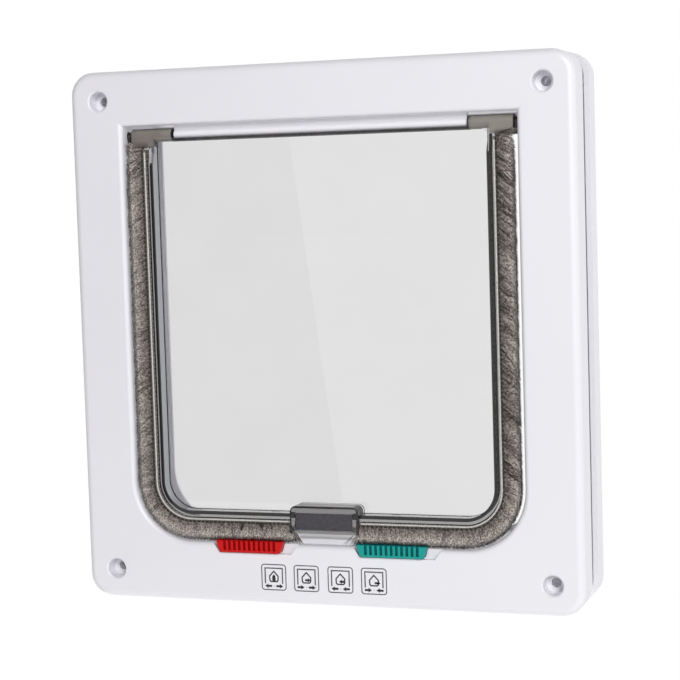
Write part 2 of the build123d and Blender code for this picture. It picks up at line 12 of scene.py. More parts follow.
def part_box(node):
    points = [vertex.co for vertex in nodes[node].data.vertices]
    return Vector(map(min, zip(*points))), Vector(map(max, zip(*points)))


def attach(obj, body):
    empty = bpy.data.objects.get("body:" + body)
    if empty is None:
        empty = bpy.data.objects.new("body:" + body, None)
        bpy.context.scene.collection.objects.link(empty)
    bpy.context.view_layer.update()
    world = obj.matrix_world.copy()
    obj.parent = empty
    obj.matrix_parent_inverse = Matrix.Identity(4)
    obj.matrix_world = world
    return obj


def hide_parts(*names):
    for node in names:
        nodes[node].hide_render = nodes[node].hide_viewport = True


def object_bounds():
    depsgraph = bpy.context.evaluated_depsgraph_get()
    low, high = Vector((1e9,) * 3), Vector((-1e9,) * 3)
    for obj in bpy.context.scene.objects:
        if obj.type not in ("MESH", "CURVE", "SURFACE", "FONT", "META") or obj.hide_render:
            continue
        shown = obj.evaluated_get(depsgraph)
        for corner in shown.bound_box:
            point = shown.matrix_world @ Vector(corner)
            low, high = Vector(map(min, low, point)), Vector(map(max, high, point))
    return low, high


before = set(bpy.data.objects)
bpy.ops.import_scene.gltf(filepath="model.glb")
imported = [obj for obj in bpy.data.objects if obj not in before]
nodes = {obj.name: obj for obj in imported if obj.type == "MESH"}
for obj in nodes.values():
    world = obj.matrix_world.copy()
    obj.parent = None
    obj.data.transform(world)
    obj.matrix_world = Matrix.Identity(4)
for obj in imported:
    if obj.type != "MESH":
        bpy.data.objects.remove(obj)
cad_low, cad_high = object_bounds()
MM = 0.001

# Places read from the frame
face_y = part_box("interior_frame")[0].y
mid_z = (cad_low.z + cad_high.z) / 2
strip_low, strip_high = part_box("pile_strip_right")
tip_half = strip_high.x
tip_bottom = strip_low.z
strip_top = strip_high.z
strip_end = strip_low.x
strip_front = strip_low.y
strip_back = strip_high.y

# Sizes of the pile strips, as the part has them
BACKING = 1.5 * MM
PILE = 7.5 * MM
TIP_RADIUS = 26.0 * MM
ROOT_RADIUS = TIP_RADIUS - PILE
RED_TOOTH_X = -31.5 * MM
TOOTH_NOTCH = 1.7 * MM

# Sizes of the flap's rim, pocket and hinge, as the part has them
RIM_CORNER_X = 66.0 * MM
RIM_CORNER_Z = 55.9 * MM
RIM_CORNER_RADIUS = 13.7 * MM
RIM_BEVEL = 0.5 * MM
RIM_INNER_Z = 42.2 * MM
FRONT_EDGE = 1.5 * MM
REAR_EDGE = 1.4 * MM
rim_front_y = face_y + 2.0 * MM
rim_back_y = face_y + 10.5 * MM
POCKET_HALF = 16.5 * MM
POCKET_TOP = 46.3 * MM
POCKET_BEVEL = 0.9 * MM
CRADLE_FOOT = 214.65 * MM
KNUCKLE_INNER_X = 70.7 * MM
KNUCKLE_BLOCK_X = 79.8 * MM
KNUCKLE_FOOT = 212.6 * MM
KNUCKLE_CROWN = 220.6 * MM
KNUCKLE_RADIUS = 3.25 * MM
KNUCKLE_END = 71.3 * MM
KNUCKLE_OUTER = 91.3 * MM
hinge_y = face_y + 8.0 * MM
HINGE_Z = 217.9 * MM

# Depth of the grooves in the thumbs' grips, and how near a surface counts as that surface
GROOVE = 1.1 * MM
SKIN = 0.06 * MM

# Share of the light that the knuckles scatter and don't let through
KNUCKLE_MURK = 0.45


# Node helpers


class Shader:
    """A material with a Principled shader and short calls to wire its nodes."""

    def __init__(self, name):
        self.material = bpy.data.materials.new(name)
        self.material.use_nodes = True
        self.tree = self.material.node_tree
        self.bsdf = self.tree.nodes["Principled BSDF"]
        self.place = self.tree.nodes.new("ShaderNodeTexCoord").outputs["Object"]

    def set(self, **values):
        """Constant values on the shader's own sockets, with _ for a space in the socket's name."""
        for key, value in values.items():
            self.bsdf.inputs[key.replace("_", " ")].default_value = value
        return self

    def link(self, output, socket):
        self.tree.links.new(output, self.bsdf.inputs[socket])

    def wire(self, node, socket, value):
        """Sets a node's input to a number, or links it to another node's output."""
        if isinstance(value, bpy.types.NodeSocket):
            self.tree.links.new(value, node.inputs[socket])
        else:
            node.inputs[socket].default_value = value

    def math(self, operation, a, b=0.0):
        node = self.tree.nodes.new("ShaderNodeMath")
        node.operation = operation
        self.wire(node, 0, a)
        self.wire(node, 1, b)
        return node.outputs[0]

    def above(self, value, limit):
        """1 where a value is over a limit, else 0."""
        return self.math("GREATER_THAN", value, limit)

    def under(self, value, limit):
        """1 where a value is under a limit, else 0."""
        return self.math("LESS_THAN", value, limit)

    def within(self, value, low, high):
        """1 where a value lies between two limits, else 0."""
        return self.both(self.above(value, low), self.under(value, high))

    def both(self, mask, *others):
        """Where all of the masks are 1."""
        for other in others:
            mask = self.math("MULTIPLY", mask, other)
        return mask

    def either(self, mask, *others):
        """The largest of the masks."""
        for other in others:
            mask = self.math("MAXIMUM", mask, other)
        return mask

    def length(self, a, b):
        """Length of the line with sides a and b."""
        return self.math("SQRT", self.math("ADD", self.math("MULTIPLY", a, a), self.math("MULTIPLY", b, b)))

    def axes(self):
        node = self.tree.nodes.new("ShaderNodeSeparateXYZ")
        self.wire(node, 0, self.place)
        return node.outputs

    def noise(self, scale, detail=2.0, roughness=0.5, stretch=(1, 1, 1)):
        mapping = self.tree.nodes.new("ShaderNodeMapping")
        mapping.inputs["Scale"].default_value = stretch
        self.wire(mapping, "Vector", self.place)
        node = self.tree.nodes.new("ShaderNodeTexNoise")
        node.inputs["Scale"].default_value = scale
        node.inputs["Detail"].default_value = detail
        node.inputs["Roughness"].default_value = roughness
        self.wire(node, "Vector", mapping.outputs[0])
        return node.outputs["Fac"]

    def ramp(self, value, *stops):
        """A colour ramp from (place, colour) pairs."""
        node = self.tree.nodes.new("ShaderNodeValToRGB")
        elements = node.color_ramp.elements
        while len(elements) < len(stops):
            elements.new(0.5)
        for element, (place, colour) in zip(elements, stops):
            element.position = place
            element.color = (*colour, 1.0)
        self.wire(node, 0, value)
        return node.outputs[0]

    def spread(self, value, low, high):
        """Maps 0 to 1 onto low to high."""
        node = self.tree.nodes.new("ShaderNodeMapRange")
        node.inputs["To Min"].default_value = low
        node.inputs["To Max"].default_value = high
        self.wire(node, 0, value)
        return node.outputs[0]

    def mix(self, share, a, b):
        node = self.tree.nodes.new("ShaderNodeMix")
        node.data_type = "RGBA"
        self.wire(node, 0, share)
        for socket, colour in ((6, a), (7, b)):
            self.wire(node, socket, colour if isinstance(colour, bpy.types.NodeSocket) else (*colour, 1.0))
        return node.outputs[2]

    def dim(self, colour, share):
        """A colour made darker."""
        node = self.tree.nodes.new("ShaderNodeMix")
        node.data_type = "RGBA"
        node.blend_type = "MULTIPLY"
        node.inputs[0].default_value = 1.0
        self.wire(node, 6, colour)
        node.inputs[7].default_value = (share, share, share, 1.0)
        return node.outputs[2]

    def bump(self, height, strength, distance):
        node = self.tree.nodes.new("ShaderNodeBump")
        node.inputs["Strength"].default_value = strength
        node.inputs["Distance"].default_value = distance
        self.wire(node, "Height", height)
        self.link(node.outputs[0], "Normal")
        return self


# Materials


def white_plastic():
    """Moulded ABS: cool white, satin, with a faint flow tone and a very fine grain."""
    s = Shader("white_plastic_abs").set(IOR=1.5)
    tone = s.noise(14.0, 3.0)
    s.link(s.ramp(tone, (0.3, (0.832, 0.823, 0.865)), (0.7, (0.852, 0.843, 0.885))), "Base Color")
    s.link(s.spread(s.noise(60.0, 2.0), 0.30, 0.42), "Roughness")
    return s.bump(s.noise(1600.0, 2.0, 0.6), 0.06, 0.00008).material


def rim_masks(s, across, y, z):
    """The rim's inner wall, its front and rear edges, and how upright the wall stands, from 0 along the bottom
    to 1 at the sides. The wall and the edges carry painted shade, and the wall also a painted reflection up the
    sides."""
    past_x = s.math("MAXIMUM", s.math("SUBTRACT", across, RIM_CORNER_X), 0.0)
    past_z = s.math("MAXIMUM", s.math("SUBTRACT", RIM_CORNER_Z, z), 0.0)
    into_rim = s.math("SUBTRACT", s.length(past_x, past_z), RIM_CORNER_RADIUS)
    below = s.under(z, KNUCKLE_FOOT)
    wall = s.both(s.within(into_rim, -SKIN, SKIN), s.above(z, RIM_INNER_Z + RIM_BEVEL), below)
    front = s.both(s.within(into_rim, 0.0, FRONT_EDGE), s.under(y, rim_front_y + RIM_BEVEL), below)
    rear = s.both(s.within(into_rim, 0.0, REAR_EDGE), s.above(y, rim_back_y - SKIN), below)
    upright = s.math("MINIMUM", s.math("DIVIDE", past_x, RIM_CORNER_RADIUS), 1.0)
    return wall, s.either(front, rear), upright


def pocket_outline_shade(s, across, y, z):
    """The front edges of the magnet pocket, which carry a painted shade outline."""
    side = s.within(across, POCKET_HALF - POCKET_BEVEL, POCKET_HALF + SKIN)
    lid = s.within(z, POCKET_TOP - POCKET_BEVEL, POCKET_TOP + SKIN)
    lid = s.both(lid, s.under(across, POCKET_HALF + SKIN))
    return s.both(s.either(side, lid), s.under(y, face_y))


def hinge_masks(s, across, y, z):
    """The knuckles, the rings at their ends and their crowns, which carry painted shade, and the cradle under
    the rod, coloured dark as painted shade.
    """
    past_inner = s.above(across, KNUCKLE_INNER_X)
    over_foot = s.above(z, CRADLE_FOOT)
    ends = s.within(across, KNUCKLE_INNER_X - SKIN, KNUCKLE_END)
    ring = s.both(s.either(ends, s.above(across, KNUCKLE_OUTER)), over_foot)
    crown = s.both(s.above(z, KNUCKLE_CROWN), past_inner)
    from_axis = s.length(s.math("SUBTRACT", y, hinge_y), s.math("SUBTRACT", z, HINGE_Z))
    barrel = s.both(s.under(from_axis, KNUCKLE_RADIUS), past_inner)
    block = s.both(s.above(z, KNUCKLE_FOOT), s.above(across, KNUCKLE_BLOCK_X))
    cradle = s.both(over_foot, s.under(across, KNUCKLE_INNER_X))
    return s.either(barrel, block), s.either(crown, ring), cradle


def smoked_acrylic():
    """Clear moulding with a light smoke in its depth: pale through the panel and murky in the knuckles. The
    near black along the edges of the rim, the pocket and the hinge and the dark cradle under the rod are
    painted shade, and the rim's inner wall carries painted shade along the bottom and a painted reflection up
    the sides."""
    s = Shader("smoked_acrylic").set(IOR=1.49)
    smoke = s.tree.nodes.new("ShaderNodeVolumeAbsorption")
    smoke.inputs["Color"].default_value = (0.66, 0.655, 0.655, 1.0)
    smoke.inputs["Density"].default_value = 365.0
    s.tree.links.new(smoke.outputs[0], s.tree.nodes["Material Output"].inputs["Volume"])
    x, y, z = s.axes()
    across = s.math("ABSOLUTE", x)
    wall, rim_edge_shade, upright = rim_masks(s, across, y, z)
    knuckle, hinge_shade, cradle = hinge_masks(s, across, y, z)
    edge = s.either(wall, rim_edge_shade, pocket_outline_shade(s, across, y, z), hinge_shade)
    haze = s.ramp(s.noise(30.0, 2.0), (0.3, (0.965, 0.965, 0.97)), (0.7, (0.985, 0.985, 0.985)))
    # Painted shade: the cradle under the rod is coloured dark for the shade that falls below the rod.
    colour = s.mix(cradle, haze, (0.10, 0.09, 0.10))
    colour = s.mix(knuckle, colour, (0.42, 0.385, 0.34))
    # Painted shade: the edges of the rim, the pocket and the hinge are coloured near black.
    colour = s.mix(edge, colour, (0.015, 0.014, 0.013))
    # Painted shade along the bottom of the rim's inner wall, and a painted pale blue-grey reflection up its
    # sides.
    colour = s.mix(wall, colour, s.mix(upright, (0.06, 0.056, 0.055), (0.40, 0.42, 0.45)))
    s.link(colour, "Base Color")
    # Where the edges carry painted shade they let no light through; the knuckles are partly murky plastic.
    murk_and_shade = s.either(edge, s.math("MULTIPLY", knuckle, KNUCKLE_MURK))
    s.link(s.math("SUBTRACT", 1.0, murk_and_shade), "Transmission Weight")
    s.link(s.spread(s.noise(200.0, 2.0), 0.0, 0.03), "Roughness")
    return s.material


def coloured_plastic(name, node, deep_shade, light):
    """Gloss moulded plastic of the lock thumbs, with painted shade that darkens the grooves of the grip."""
    s = Shader(name).set(IOR=1.5, Specular_IOR_Level=0.2)
    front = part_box(node)[0].y
    # Painted shade: the colour darkens from the ribs towards the floor of each groove.
    out = s.math("DIVIDE", s.math("SUBTRACT", front + GROOVE, s.axes()[1]), GROOVE)
    worn = s.math("MULTIPLY", s.noise(220.0, 3.0), 0.2)
    s.link(s.ramp(s.math("SUBTRACT", out, worn), (0.1, deep_shade), (0.85, light)), "Base Color")
    s.link(s.spread(s.noise(500.0, 2.0), 0.28, 0.42), "Roughness")
    return s.bump(s.noise(2500.0, 2.0), 0.05, 0.00006).material


def ferrite():
    """Sintered magnet: dark grey with a violet cast, speckled and matt."""
    s = Shader("ferrite_magnet")
    speckle = s.noise(1500.0, 4.0, 0.7)
    s.link(s.ramp(speckle, (0.35, (0.030, 0.027, 0.034)), (0.75, (0.075, 0.068, 0.082))), "Base Color")
    s.link(s.spread(s.noise(700.0, 3.0), 0.45, 0.7), "Roughness")
    return s.bump(speckle, 0.25, 0.00006).material


def matt_plastic():
    s = Shader("plate_plastic_matt")
    s.link(s.ramp(s.noise(25.0, 3.0), (0.3, (0.62, 0.62, 0.65)), (0.7, (0.68, 0.68, 0.70))), "Base Color")
    s.link(s.spread(s.noise(90.0, 2.0), 0.5, 0.65), "Roughness")
    return s.bump(s.noise(1800.0, 2.0), 0.15, 0.0001).material


def dark_acetal():
    """Dark grey bearing plastic of the hidden lock carriages."""
    s = Shader("dark_acetal")
    tone = s.noise(60.0, 3.0)
    s.link(s.ramp(tone, (0.3, (0.030, 0.030, 0.032)), (0.7, (0.045, 0.045, 0.047))), "Base Color")
    s.link(s.spread(s.noise(200.0, 2.0), 0.4, 0.55), "Roughness")
    return s.bump(s.noise(1800.0, 2.0), 0.12, 0.00008).material


def plated_steel():
    s = Shader("zinc_plated_steel").set(Metallic=1.0)
    s.link(s.ramp(s.noise(900.0, 3.0), (0.3, (0.50, 0.51, 0.53)), (0.7, (0.66, 0.66, 0.68))), "Base Color")
    s.link(s.spread(s.noise(1500.0, 2.0, stretch=(1, 1, 8)), 0.25, 0.45), "Roughness")
    return s.material


def pile_fibre():
    """Pile fibres, coloured by each one's tone from dark brown through taupe to pale beige. The tones hold the
    fibres' own spread of colour, and also painted shade at the roots and in the middle rows, painted shade up
    the right strip and painted light along its foot.
    """
    s = Shader("pile_fibre").set(Sheen_Weight=0.1, Roughness=0.75, Specular_IOR_Level=0.2)
    tone = s.tree.nodes.new("ShaderNodeAttribute")
    tone.attribute_name = "tone"
    colour = s.ramp(
        tone.outputs["Fac"],
        (0.0, (0.030, 0.024, 0.021)),
        (0.35, (0.24, 0.202, 0.183)),
        (0.7, (0.60, 0.525, 0.48)),
        (1.0, (0.95, 0.87, 0.81)),
    )
    fleck = s.ramp(s.noise(1300.0, 2.0, 0.6), (0.42, (0, 0, 0)), (0.58, (1, 1, 1)))
    s.link(s.mix(fleck, s.dim(colour, 0.33), colour), "Base Color")
    return s.material


def woven_tape():
    """Woven backing tape: olive brown yarn with a fine cross weave."""
    s = Shader("woven_tape").set(Roughness=0.8, Sheen_Weight=0.1)
    tone = s.noise(900.0, 3.0, 0.6)
    s.link(s.ramp(tone, (0.3, (0.11, 0.096, 0.070)), (0.7, (0.17, 0.15, 0.115))), "Base Color")
    return s.bump(s.noise(2600.0, 2.0), 0.4, 0.0001).material


def selvedge_yarn():
    s = Shader("selvedge_yarn").set(Roughness=0.7, Sheen_Weight=0.1)
    tone = s.noise(1300.0, 3.0, 0.6)
    s.link(s.ramp(tone, (0.3, (0.50, 0.48, 0.46)), (0.7, (0.80, 0.78, 0.75))), "Base Color")
    return s.bump(s.noise(4000.0, 2.0), 0.4, 0.00008).material


def stitch_yarn():
    s = Shader("stitch_yarn").set(Roughness=0.8)
    tone = s.noise(1200.0, 2.0)
    # Black yarn of the stitches and seams; the same material lays the painted shade of the dark band inside the
    # pile.
    s.link(s.ramp(tone, (0.3, (0.010, 0.009, 0.008)), (0.7, (0.03, 0.027, 0.024))), "Base Color")
    return s.material


def print_ink(name, dark, thin):
    """Pad-printed ink, a touch thin in places."""
    s = Shader(name)
    s.link(s.ramp(s.noise(1400.0, 3.0, 0.7), (0.35, (dark,) * 3), (0.8, (thin,) * 3)), "Base Color")
    s.link(s.spread(s.noise(600.0, 2.0), 0.4, 0.6), "Roughness")
    return s.material


WHITE = white_plastic()
DARK = dark_acetal()
# Each thumb's colours: a darker one for the painted shade in the grooves, and its plastic's colour on the ribs.
RED = {"deep_shade": (0.36, 0.0, 0.002), "light": (0.60, 0.006, 0.006)}
GREEN = {"deep_shade": (0.0, 0.14, 0.155), "light": (0.01, 0.34, 0.295)}
FINISHES = {
    "interior_frame": WHITE,
    "exterior_frame": WHITE,
    "sill_magnet_cover": WHITE,
    "flap": smoked_acrylic(),
    "flap_magnet": ferrite(),
    "sill_magnet": ferrite(),
    "red_lock_thumb": coloured_plastic("red_plastic", "red_lock_thumb", **RED),
    "green_lock_thumb": coloured_plastic("green_plastic", "green_lock_thumb", **GREEN),
    "red_lock_carriage": DARK,
    "green_lock_carriage": DARK,
    "lock_retainer_plate": matt_plastic(),
    "retainer_screws": plated_steel(),
}


def dress_nodes():
    """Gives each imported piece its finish."""
    for name, material in FINISHES.items():
        slots = nodes[name].data.materials
        slots.clear()
        slots.append(material)


# Mesh helpers


def add_piece(name, mesh, materials, body, replaced=()):
    """Links a mesh as a piece of the object that rides on a body."""
    piece = bpy.data.objects.new(name, mesh)
    bpy.context.scene.collection.objects.link(piece)
    for material in materials:
        mesh.materials.append(material)
    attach(piece, body)
    if replaced:
        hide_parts(*replaced)
    return piece


def mesh_from(name, points, faces, smooth=True):
    mesh = bpy.data.meshes.new(name)
    mesh.from_pydata([tuple(p) for p in points], [], [tuple(f) for f in faces])
    mesh.polygons.foreach_set("use_smooth", [smooth] * len(mesh.polygons))
    mesh.update()
    return mesh


# Pile strips


class Rail:
    """The root line of one strip's pile: straight down one side of the flap, round the corner and along the
    bottom. Works on arrays of lengths along that line."""

    def __init__(self, side):
        self.side = side
        self.half = tip_half - PILE
        self.bottom = tip_bottom + PILE
        self.radius = ROOT_RADIUS
        self.run_side = strip_top - (self.bottom + self.radius)
        self.run_arc = self.radius * math.pi / 2
        self.run_bottom = self.half - self.radius - strip_end
        self.length = self.run_side + self.run_arc + self.run_bottom

    def at(self, s):
        """Points (u, z) on the root line and outward normals there, u being the distance from the middle."""
        s = np.asarray(s, float)
        angle = np.clip((s - self.run_side) / self.radius, 0, math.pi / 2)
        normal = np.stack([np.cos(angle), -np.sin(angle)], -1)
        centre = np.array([self.half - self.radius, self.bottom + self.radius])
        point = centre + self.radius * normal
        point[:, 1] += np.clip(self.run_side - s, 0, None)
        point[:, 0] -= np.clip(s - self.run_side - self.run_arc, 0, None)
        return point, normal

    def place(self, s, out, y):
        """Points at lengths s along the rail, out from the root line and at depth y."""
        point, normal = self.at(s)
        uz = point + normal * np.asarray(out, float)[:, None]
        return np.stack([self.side * uz[:, 0], np.broadcast_to(y, uz[:, 0].shape), uz[:, 1]], -1)


def fibre_field(rail, count, seed, side_lean):
    """Roots, middles, tips and tones of the fibres. They stand in fine tufts that share a lean and a tone. The
    rows in the middle of the strip's depth are darker, as painted shade, and, by SIDE_REACH and FOOT_REACH,
    longer, so that their dark tips lay painted shade in the gap between the pile and the frame."""
    rng = np.random.RandomState(seed)
    depth = rng.rand(count) ** FRONT_CROWDING
    start = np.where(depth < OVERHANG_DEPTH, -TOP_OVERHANG, 0.0)
    s = start + rng.rand(count) * (rail.length - start)
    tufts = int((rail.length + TOP_OVERHANG) / TUFT_PITCH) + 2
    tuft = ((s + TOP_OVERHANG) / TUFT_PITCH).astype(int) * TUFT_ROWS + (depth * TUFT_ROWS).astype(int)
    lean_of = rng.normal(0, TUFT_LEAN, tufts * TUFT_ROWS)
    tone_of = rng.normal(0, TUFT_TONE, tufts * TUFT_ROWS)
    high_of = rng.normal(0, HEIGHT_SPREAD, tufts * TUFT_ROWS)
    turn = np.clip((s - rail.run_side * 0.9) / (rail.run_arc + rail.run_side * 0.1), 0, 1)
    lean = side_lean * (1 - turn) * np.clip(0.5 + s / TOP_UPRIGHT, 0.4, 1)
    lean = lean + lean_of[tuft] * (1 + 0.4 * turn) + rng.normal(0, FIBRE_LEAN, count)
    y0 = pile_front + depth * (pile_back - pile_front)
    deep_shade = np.interp(depth, DEEP_ROWS, (0, 1, 1, 0))
    reach = PILE + FRONT_REACH + (SIDE_REACH[rail.side] * (1 - turn) + FOOT_REACH * turn) * deep_shade
    height = reach * np.clip(1 + high_of[tuft] + rng.normal(0, HEIGHT_SPREAD, count), 0.85, 1.02)
    splay = (depth - 0.5) * FAN - FOOT_SPLAY * turn * (1 - depth) + rng.normal(0, SPLAY_SPREAD, count)
    bow = rng.normal(0, BOW_SPREAD, count)
    root = rail.place(s, np.zeros(count), y0)
    mid = rail.place(s + lean * height * (0.66 + bow), height * 0.74, y0 + splay * 0.6)
    tip = rail.place(s + lean * height, height, y0 + splay)
    # Painted shade and light: the middle rows are dark, and the right strip is darker up its side and paler
    # along its foot; the random spread on the next line is the fibres' own tone.
    tone = (FRONT_TONE[rail.side] + FOOT_TONE[rail.side] * turn) * (1 - deep_shade) + DEEP_TONE * deep_shade
    tone += (tone_of[tuft] + rng.normal(0, FIBRE_TONE, count)) * (1 - 0.7 * deep_shade)
    return root, mid, tip, np.clip(tone, 0.02, 1.0)


def fibre_mesh(name, root, mid, tip, tone, radius):
    """Slim three-sided fibres, each a prism from root to middle and a point at the tip."""
    count = len(root)
    axis = tip - root
    axis /= np.linalg.norm(axis, axis=1)[:, None]
    across = np.cross(axis, np.array([0.0, 1.0, 0.0]))
    across /= np.linalg.norm(across, axis=1)[:, None]
    other = np.cross(axis, across)
    points = np.zeros((count, 7, 3))
    for corner in range(3):
        turn = corner * 2 * math.pi / 3
        offset = (across * math.cos(turn) + other * math.sin(turn)) * radius
        points[:, corner] = root + offset
        points[:, 3 + corner] = mid + offset * 0.9
    points[:, 6] = tip
    base = (np.arange(count) * 7)[:, None]
    quads = [[0, 1, 4, 3], [1, 2, 5, 4], [2, 0, 3, 5]]
    tris = [[3, 4, 6], [4, 5, 6], [5, 3, 6]]
    faces = []
    for quad in quads:
        faces += (base + np.array(quad)).tolist()
    for tri in tris:
        faces += (base + np.array(tri)).tolist()
    mesh = mesh_from(name, points.reshape(-1, 3), faces)
    shade = np.repeat(tone[:, None], 7, axis=1)
    # Painted shade: each fibre is darker towards its root, low in the pile.
    shade[:, :3] *= 0.35
    shade[:, 3:6] *= 0.9
    layer = mesh.attributes.new("tone", "FLOAT", "POINT")
    layer.data.foreach_set("value", shade.astype(np.float32).ravel())
    return mesh


def swept_band(name, rail, low, high, front, back, step=1.0 * MM, trim=0.0):
    """A closed band along the rail between two heights and two depths, with its ends cut back by a trim."""
    count = int(rail.length / step) + 1
    s = np.linspace(trim, rail.length - trim, count)
    corners = []
    for out, y in ((low, front), (high, front), (high, back), (low, back)):
        corners.append(rail.place(s, np.full(count, out), y))
    points = np.stack(corners, 1).reshape(-1, 3)
    faces = [(3, 2, 1, 0), tuple(4 * (count - 1) + k for k in range(4))]
    for i in range(count - 1):
        for k in range(4):
            n = (k + 1) % 4
            faces.append((4 * i + k, 4 * i + n, 4 * i + 4 + n, 4 * i + 4 + k))
    return mesh_from(name, points, faces, smooth=False)


def beads(name, rail, out, y, pitch, length, radius, start=0.0):
    """A row of small rounded stitches along the rail."""
    sides, rings = 6, (-1.0, -0.6, 0.0, 0.6, 1.0)
    fullness = (0.35, 0.85, 1.0, 0.85, 0.35)
    points, faces = [], []
    count = int((rail.length - start) / pitch)
    for i in range(count):
        middle = start + (i + 0.5) * pitch
        base = len(points)
        for along, full in zip(rings, fullness):
            for k in range(sides):
                turn = 2 * math.pi * k / sides
                p = rail.place(
                    [middle + along * length / 2],
                    [out + radius * full * math.cos(turn)],
                    y + radius * full * math.sin(turn),
                )[0]
                points.append(p)
        for r in range(len(rings) - 1):
            for k in range(sides):
                n = (k + 1) % sides
                a, b = base + r * sides, base + (r + 1) * sides
                faces.append((a + k, a + n, b + n, b + k))
        faces.append(tuple(base + k for k in reversed(range(sides))))
        last = base + (len(rings) - 1) * sides
        faces.append(tuple(last + k for k in range(sides)))
    return mesh_from(name, points, faces)


# Number, size and tufts of the fibres
FIBRES = 16000
FIBRE_RADIUS = 0.16 * MM
TUFT_PITCH = 0.75 * MM
TUFT_ROWS = 5
FRONT_CROWDING = 1.5

# Where the pile stands and how far it reaches, with -1 for the left strip and 1 for the right
pile_front = strip_front - 1.2 * MM
pile_back = strip_back - 0.3 * MM
TOP_OVERHANG = 1.2 * MM
OVERHANG_DEPTH = 0.6
TOP_UPRIGHT = 12.0 * MM
FRONT_REACH = 0.2 * MM
# The extra reach on the left side and along the foot lengthens the dark middle rows, to lay painted shade in
# the gap between the pile and the frame.
SIDE_REACH = {-1: 1.7 * MM, 1: 0.0}
FOOT_REACH = 1.7 * MM
SIDE_LEAN = {-1: 0.62, 1: 0.8}
FAN = 0.7 * MM
FOOT_SPLAY = 0.5 * MM

# Tones, with painted shade and light: the right strip darker up its side and paler along its foot than the
# left, and the rows dark as painted shade between the shares of the depth where they turn dark and pale again
FRONT_TONE = {-1: 1.1, 1: 0.7}
FOOT_TONE = {-1: 0.05, 1: 0.6}
DEEP_TONE = 0.09
DEEP_ROWS = (0.24, 0.34, 0.68, 0.80)

# Spreads of the random draws
TUFT_LEAN = 0.20
FIBRE_LEAN = 0.16
TUFT_TONE = 0.34
FIBRE_TONE = 0.22
HEIGHT_SPREAD = 0.012
SPLAY_SPREAD = 0.2 * MM
BOW_SPREAD = 0.06

# Core and tape under the pile, and the rows of yarn on the tape. The black band in the lower pile lays
# painted shade between the fibres
CONTACT = 0.06 * MM
SHADE_CORE_HEIGHT = 0.55 * PILE
SHADE_CORE_TRIM = 2.0 * MM
shade_core_front = pile_front + 0.7 * MM
shade_core_back = strip_back - 0.9 * MM
tape_front = strip_front - 0.5 * MM
SELVEDGE_ROW = {
    "out": -1.1 * MM, "y": strip_front - 0.7 * MM,
    "pitch": 1.05 * MM, "length": 1.15 * MM, "radius": 0.5 * MM, "start": 1.5 * MM,
}
STITCH_ROW = {
    "out": 0.05 * MM, "y": strip_front - 1.1 * MM,
    "pitch": 2.1 * MM, "length": 1.6 * MM, "radius": 0.48 * MM,
}
SEAM_ROW = {
    "out": -BACKING, "y": strip_front + 1.2 * MM,
    "pitch": 2.16 * MM, "length": 1.0 * MM, "radius": 0.5 * MM,
}


def make_strip(word, side, seed):
    """One pile strip: fibres over a black band that lays painted shade between them, on a woven tape with a
    pale selvedge and dark stitches.
    """
    node = "pile_strip_" + word
    rail = Rail(side)
    root, mid, tip, tone = fibre_field(rail, FIBRES, seed, SIDE_LEAN[side])
    if side < 0:
        keep = ~((np.abs(root[:, 0] - RED_TOOTH_X) < TOOTH_NOTCH) & (root[:, 2] < tip_bottom + PILE + MM))
        root, mid, tip, tone = root[keep], mid[keep], tip[keep], tone[keep]
    pile = fibre_mesh(node + "_pile", root, mid, tip, tone, FIBRE_RADIUS)
    add_piece(node + "_pile", pile, [PILE_FIBRE], "flap", [node])
    # Painted shade: a black band inside the lower pile, where the fibres shade one another.
    shade_core = swept_band(node + "_shade_core", rail, 0.0, SHADE_CORE_HEIGHT, shade_core_front, shade_core_back, trim=SHADE_CORE_TRIM)
    add_piece(node + "_shade_core", shade_core, [STITCH_AND_SHADE], "flap")
    tape = swept_band(node + "_tape", rail, -BACKING - CONTACT, 0.0, tape_front, strip_back)
    add_piece(node + "_tape", tape, [TAPE], "flap")
    rows = (
        ("_selvedge", SELVEDGE_ROW, SELVEDGE),
        ("_stitches", STITCH_ROW, STITCH_AND_SHADE),
        ("_seam", SEAM_ROW, STITCH_AND_SHADE),
    )
    for ending, row, yarn in rows:
        add_piece(node + ending, beads(node + ending, rail, **row), [yarn], "flap")


PILE_FIBRE = pile_fibre()
TAPE = woven_tape()
SELVEDGE = selvedge_yarn()
STITCH_AND_SHADE = stitch_yarn()


# Printed signs

INK_RISE = 0.05 * MM
INK_SUNK = 0.02 * MM


